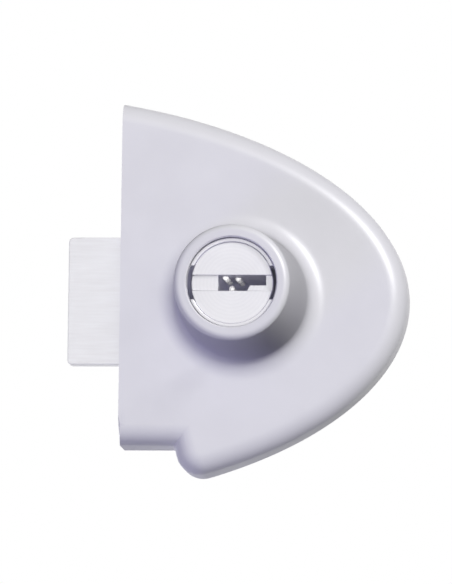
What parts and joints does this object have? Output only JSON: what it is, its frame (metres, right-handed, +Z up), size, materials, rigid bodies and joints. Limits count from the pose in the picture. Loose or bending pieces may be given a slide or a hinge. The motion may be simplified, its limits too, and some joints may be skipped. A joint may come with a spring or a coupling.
{
  "type": "glass cabinet door lock",
  "caption": "D-shaped clamp-on lock for a glass cabinet door: a die-cast cover with a flared round boss, a pin tumbler key cylinder and a flat sliding bolt.",
  "frame": {"origin": "on the key cylinder's axis, in the plane of the glass's front face", "axes": "-Y out of the glass towards the key, +X away from the bolt, +Z up"},
  "size_m": [0.0571, 0.0423, 0.0621],
  "materials": {
    "die_cast": "satin pearl",
    "nickel": "turned satin nickel",
    "nickel_bolt": "satin nickel plate",
    "steel": "zinc plated",
    "spring_steel": "bright",
    "brass": "turned",
    "nickel_silver": "turned",
    "rubber": "matt",
    "nylon": "matt"
  },
  "bodies": {
    "lock_case": {"front_housing": "die_cast", "cylinder_body": "nickel", "pin_sleeve": "steel", "driver_pins": "brass", "pin_springs": "spring_steel", "retaining_ring": "spring_steel", "back_plate": "steel", "back_plate_screws": "steel", "bolt_guides": "brass", "front_gasket": "rubber", "screw_bushes": "nylon", "rear_gasket": "rubber", "rear_plate": "die_cast", "clamp_screws": "steel"},
    "plug_body": {"plug": "nickel", "key_pins": "nickel_silver", "plug_clip": "spring_steel", "cam": "steel", "drive_pin": "steel", "drive_roller": "brass", "cam_screw": "steel"},
    "bolt_body": {"bolt": "nickel_bolt"}
  },
  "joints": [
    {"name": "plug_turn", "type": "hinge", "parent": "lock_case", "child": "plug_body", "pos_m": [0, 0, 0], "axis": [0, 1, 0], "range_deg": [0, 90]},
    {"name": "bolt_slide", "type": "slide", "parent": "lock_case", "child": "bolt_body", "axis": [1, 0, 0], "range_m": [0, 0.00945]}
  ],
  "couplings": [
    {"joint": "bolt_slide", "follows": "plug_turn", "m_per_rad": 0.006016}
  ]
}
